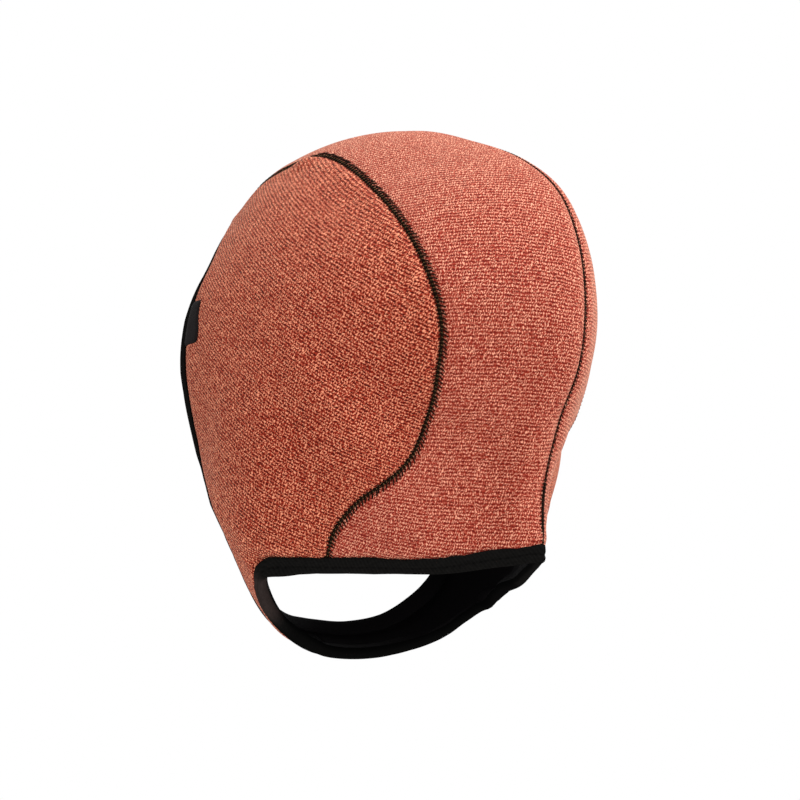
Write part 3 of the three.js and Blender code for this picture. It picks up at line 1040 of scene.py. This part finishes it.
# %% [markdown]
# ## Stitching
#
# The panels are joined edge to edge by a flat seam: a needle thread slants over the joint again and
# again, a second thread runs back between the slants, and thicker stitches lie deep in the joint as a
# bed. On the crown seams an olive thread shows in flecks. The stitches are small tubes, made from arrays
# of path points in one mesh for each kind, because hundreds of separate objects would be slow.

# %% Thread as tubes
TUBE_SIDES = 6
ROUNDED_END = 0.35


def tubes(name, paths, radius, material, sides=TUBE_SIDES):
    """Makes stitches of paths, an array (stitches, points, 3) in mm."""
    paths = np.asarray(paths)
    ahead = unit(np.gradient(paths, axis=1))
    out = normal_at(paths)
    wide = unit(np.cross(ahead, out))
    high = np.cross(wide, ahead)
    turn = np.linspace(0, 2 * np.pi, sides, endpoint=False)
    arc = np.linspace(ROUNDED_END, np.pi - ROUNDED_END, paths.shape[1])
    ends = np.sin(arc) ** ROUNDED_END * radius
    circle = np.cos(turn)[:, None] * wide[:, :, None] + np.sin(turn)[:, None] * high[:, :, None]
    points = paths[:, :, None] + circle * ends[None, :, None, None]
    stitches, steps = paths.shape[:2]
    index = np.arange(stitches * steps * sides).reshape(stitches, steps, sides)
    a, b = index[:, :-1], index[:, 1:]
    faces = np.stack([a, b, np.roll(b, -1, 2), np.roll(a, -1, 2)], -1).reshape(-1, 4).tolist()
    faces += index[:, 0].tolist() + index[:, -1, ::-1].tolist()
    ob = mesh_object(name, points.reshape(-1, 3), faces, [material])
    length = np.cumsum(np.linalg.norm(np.diff(paths, axis=1, prepend=paths[:, :1]), axis=2), axis=1)
    store(ob, "along", np.repeat(length.ravel(), sides))
    store(ob, "across", np.tile(np.arange(sides) / sides, stitches * steps))
    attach(ob, "root")
    print(f"{name}: {stitches} stitches, {len(faces)} faces")


class SeamRun:
    """A seam as a ruler: a place along it and an offset beside it give a point above the cloth."""

    def __init__(self, line, full=False):
        self.line = line
        self.full = full
        self.run = distance_along(line)
        self.length = self.run[-1]

    def on_line(self, place_):
        return np.stack([np.interp(place_, self.run, self.line[:, k]) for k in range(3)], -1)

    def at(self, place_, aside, rise):
        spot_ = self.on_line(place_)
        ahead = unit(self.on_line(place_ + 1.0) - self.on_line(place_ - 1.0))
        sideways = unit(np.cross(normal_at(spot_), ahead))
        base = on_form(spot_ + sideways * np.asarray(aside)[..., None])
        extra = fullness(base) if self.full else 0
        return base + normal_at(base) * (rise + lie(base) + extra)[..., None]


def stitch_run(run, pitch, start, end, lean, low, high, seed=3, wide=np.ones_like):
    """One slanted stitch every pitch, from the offset start to the offset end, leaning along the seam.

    It rises from low, at both ends, to high. All are in mm, and wide stretches stitches along the run.
    """
    chance = np.random.default_rng(seed)
    first = np.arange(pitch, run.length - pitch, pitch)
    first = first + chance.uniform(-0.12, 0.12, len(first)) * pitch
    part = np.linspace(0, 1, 7)[None, :]
    reach = (1 + chance.uniform(-0.2, 0.2, (len(first), 1))) * wide(first)[:, None]
    along = first[:, None] + part * lean
    aside = start + (end - start) * part * reach
    rise = low + (high - low) * np.sin(np.pi * part) + 0 * along
    return run.at(along, aside, rise)


def both_sides(paths):
    return np.concatenate([paths, paths * MIRROR])


PITCH, BED_PITCH = 1.6, 0.8
# How far before its end the middle seam begins to widen and is wide, in mm, and its number of wide beds.
WIDER_FROM, WIDE_FROM = 34, 28
LOW_BEDS = 36

seam_run = SeamRun(crown_seam(np.linspace(0, 1, 1200)))
slants = stitch_run(seam_run, PITCH, -0.7, 2.9, 2.3, -0.6, 0.25)
backs = stitch_run(seam_run, PITCH, 0.5, -1.5, 1.0, -0.65, 0.1, seed=5)
beds = stitch_run(seam_run, BED_PITCH, -0.4, 0.45, 0.9, -0.8, -0.35, seed=9)
flecks = stitch_run(seam_run, PITCH, -0.35, 0.35, 0.3, -0.05, 0.2, seed=7)
tubes("crown_seam_slants", both_sides(slants), 0.28, black_thread)
tubes("crown_seam_backs", both_sides(backs), 0.28, black_thread)
tubes("crown_seam_beds", both_sides(beds), 0.5, black_thread)
tubes("crown_seam_flecks", both_sides(flecks), 0.13, olive_thread)

middle_run = SeamRun(middle_line(np.linspace(0, 1, 1200)), full=True)


def low_wide(place_):
    """The middle seam's stitches are twice as wide in its last 3 cm, where the panels pull apart."""
    return 1 + smooth(place_, middle_run.length - WIDER_FROM, middle_run.length - WIDE_FROM)


slants = stitch_run(middle_run, PITCH, -0.3, 1.3, 1.0, -0.5, 0.1, seed=11, wide=low_wide)
backs = stitch_run(middle_run, PITCH, 0.3, -0.6, 0.8, -0.5, 0.0, seed=13, wide=low_wide)
beds = stitch_run(middle_run, BED_PITCH, -0.2, 0.25, 0.9, -0.6, -0.3, seed=15, wide=low_wide)
tubes("middle_seam_slants", slants, 0.22, black_thread)
tubes("middle_seam_backs", backs, 0.22, black_thread)
tubes("middle_seam_beds", beds, 0.27, black_thread)
tubes("middle_seam_low_beds", beds[-LOW_BEDS:], 0.55, black_thread)

# %% [markdown]
# ## The patch
#
# A small plain patch lies on the left side panel against the face tape. It is a thin plate that follows
# the cloth, wider below than above, with its edge pressed down.

# %% The plain patch
# The patch's ends as shares of the cheek edge.
PATCH_FROM, PATCH_TO = 0.452, 0.612
# How far the patch reaches in from the face edge, in mm, by its share of the way down.
PATCH_ACROSS = np.array([(0, 14.2), (0.35, 15.2), (0.68, 17.4), (0.92, 17.6), (1, 16.2)])
TAPE_EDGE = 6.6
PATCH_UNDER, PATCH_RIM, PATCH_PILLOW = 0.2, 0.5, 0.35
PRESSED_SHARE = 0.08


def patch():
    parts = np.linspace(PATCH_FROM, PATCH_TO, 31)
    here, ahead = cheek_edge(parts), cheek_edge(parts + 0.01)
    inward = unit(np.cross(normal_at(here), unit(ahead - here)))
    share = np.linspace(0, 1, 31)[:, None]
    across = np.linspace(0, 1, 13)[None, :]
    into = TAPE_EDGE + (from_table(PATCH_ACROSS, share, 1) - TAPE_EDGE) * across
    base = on_form(here[:, None] + inward[:, None] * into[..., None])
    normal = normal_at(base)
    edge = np.minimum.reduce([share + 0 * across, 1 - share + 0 * across, 1 - across + 0 * share])
    rise = PATCH_RIM + PATCH_PILLOW * smooth(edge, 0, PRESSED_SHARE)
    top = base + normal * (lie(base) + rise)[..., None]
    under = base + normal * (lie(base) + PATCH_UNDER)[..., None]
    points = np.vstack([top.reshape(-1, 3), under.reshape(-1, 3)])
    faces = np.vstack(shell_faces(*top.shape[:2]))
    ob = mesh_object("plain_patch", points, faces, [patch_black])
    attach(ob, "root")
    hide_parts("edge_patch")


patch()
